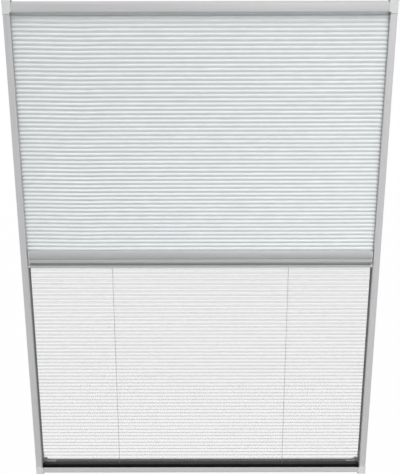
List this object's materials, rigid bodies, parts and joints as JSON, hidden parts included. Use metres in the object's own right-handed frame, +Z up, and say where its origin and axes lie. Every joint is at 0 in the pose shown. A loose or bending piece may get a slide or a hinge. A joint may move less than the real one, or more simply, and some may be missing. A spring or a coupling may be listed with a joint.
{
  "type": "pleated insect screen with honeycomb shade",
  "caption": "Framed roof window blind with a white honeycomb shade above and a grey pleated insect screen below, each on its own pull bar.",
  "frame": {"origin": "bottom of the corner blocks, in the middle of the width and of the depth", "axes": "+X to the right as seen from the room, +Y from the room towards the window, +Z up"},
  "size_m": [1.2, 0.05, 1.6],
  "materials": {
    "frame_aluminium": "satin anodised",
    "bar_aluminium": "satin anodised",
    "corner_plastic": "matt moulded",
    "grey_plastic": "matt moulded",
    "black_plastic": "matt",
    "brush_pile": "pile",
    "shade_cloth": "non-woven cloth",
    "insect_mesh": "woven mesh",
    "cord": "braided"
  },
  "bodies": {
    "frame": {"top_rail": "frame_aluminium", "bottom_rail": "frame_aluminium", "left_side_rail": "frame_aluminium", "right_side_rail": "frame_aluminium", "top_left_corner": "corner_plastic", "top_right_corner": "corner_plastic", "bottom_left_corner": "corner_plastic", "bottom_right_corner": "corner_plastic", "shade_head_strip": "grey_plastic", "honeycomb_shade": "shade_cloth", "mesh_foot_strip": "black_plastic", "pleated_mesh": "insect_mesh", "left_brush_seal": "brush_pile", "right_brush_seal": "brush_pile", "left_mesh_cord": "cord", "right_mesh_cord": "cord", "lower_cord_knots": "cord"},
    "shade_bar": {"shade_pull_bar": "bar_aluminium", "shade_bar_left_runner": "grey_plastic", "shade_bar_right_runner": "grey_plastic", "shade_foot_strip": "grey_plastic"},
    "screen_bar": {"screen_pull_bar": "bar_aluminium", "screen_bar_left_runner": "grey_plastic", "screen_bar_right_runner": "grey_plastic", "mesh_head_strip": "grey_plastic", "upper_cord_knots": "cord"}
  },
  "joints": [
    {"name": "shade_bar_slide", "type": "slide", "parent": "frame", "child": "shade_bar", "axis": [0, 0, 1], "range_m": [0, 0.66], "deforming": ["honeycomb_shade"]},
    {"name": "screen_bar_slide", "type": "slide", "parent": "frame", "child": "screen_bar", "axis": [0, 0, 1], "range_m": [-0.68, 0], "deforming": ["pleated_mesh", "left_mesh_cord", "right_mesh_cord"]}
  ]
}
